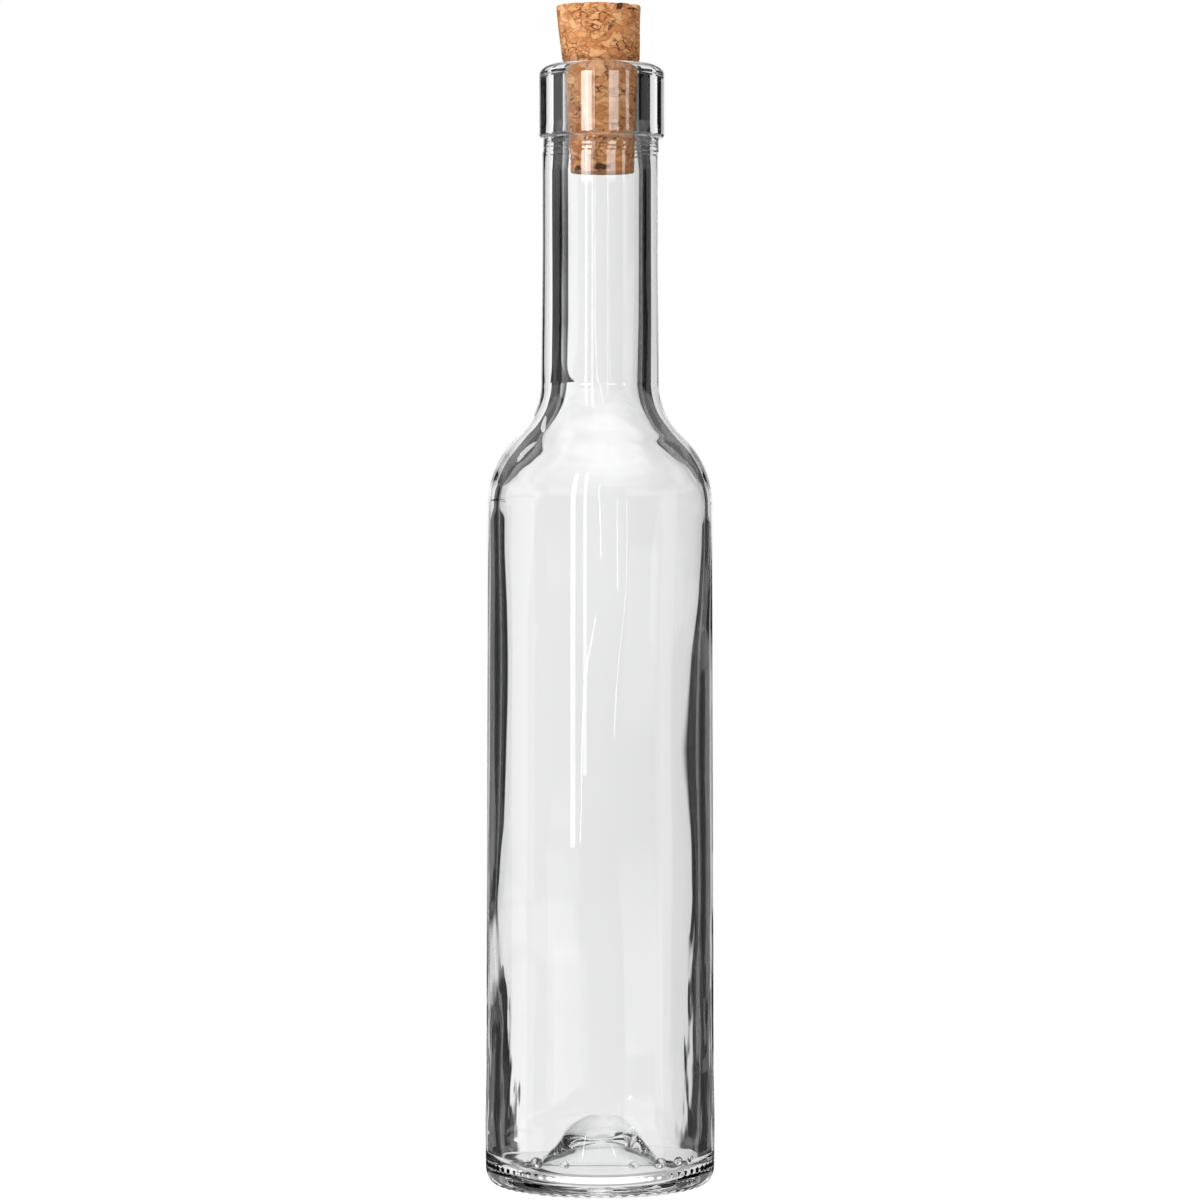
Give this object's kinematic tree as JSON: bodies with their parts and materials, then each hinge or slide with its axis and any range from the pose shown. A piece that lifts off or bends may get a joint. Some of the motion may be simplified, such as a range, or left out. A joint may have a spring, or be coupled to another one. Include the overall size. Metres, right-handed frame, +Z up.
{
  "type": "corked glass bottle",
  "caption": "Slim clear-glass bottle with a long neck, banded lip, domed floor and a tapered cork stopper that pulls out.",
  "frame": {"origin": "middle of the flat ring that the bottle stands on", "axes": "+Z up, along the bottle's axis from the base to the mouth; the bottle is round, so X and Y are free"},
  "size_m": [0.057, 0.057, 0.2904],
  "materials": {
    "clear_glass": "clear and colourless, fire-polished",
    "pressed_cork": "matt, pressed cork granules"
  },
  "bodies": {
    "bottle": {"glass_bottle": "clear_glass"},
    "cork": {"cork_stopper": "pressed_cork"}
  },
  "joints": [
    {"name": "cork_pull", "type": "slide", "parent": "bottle", "child": "cork", "axis": [0, 0, 1], "range_m": [0, 0.07]}
  ]
}
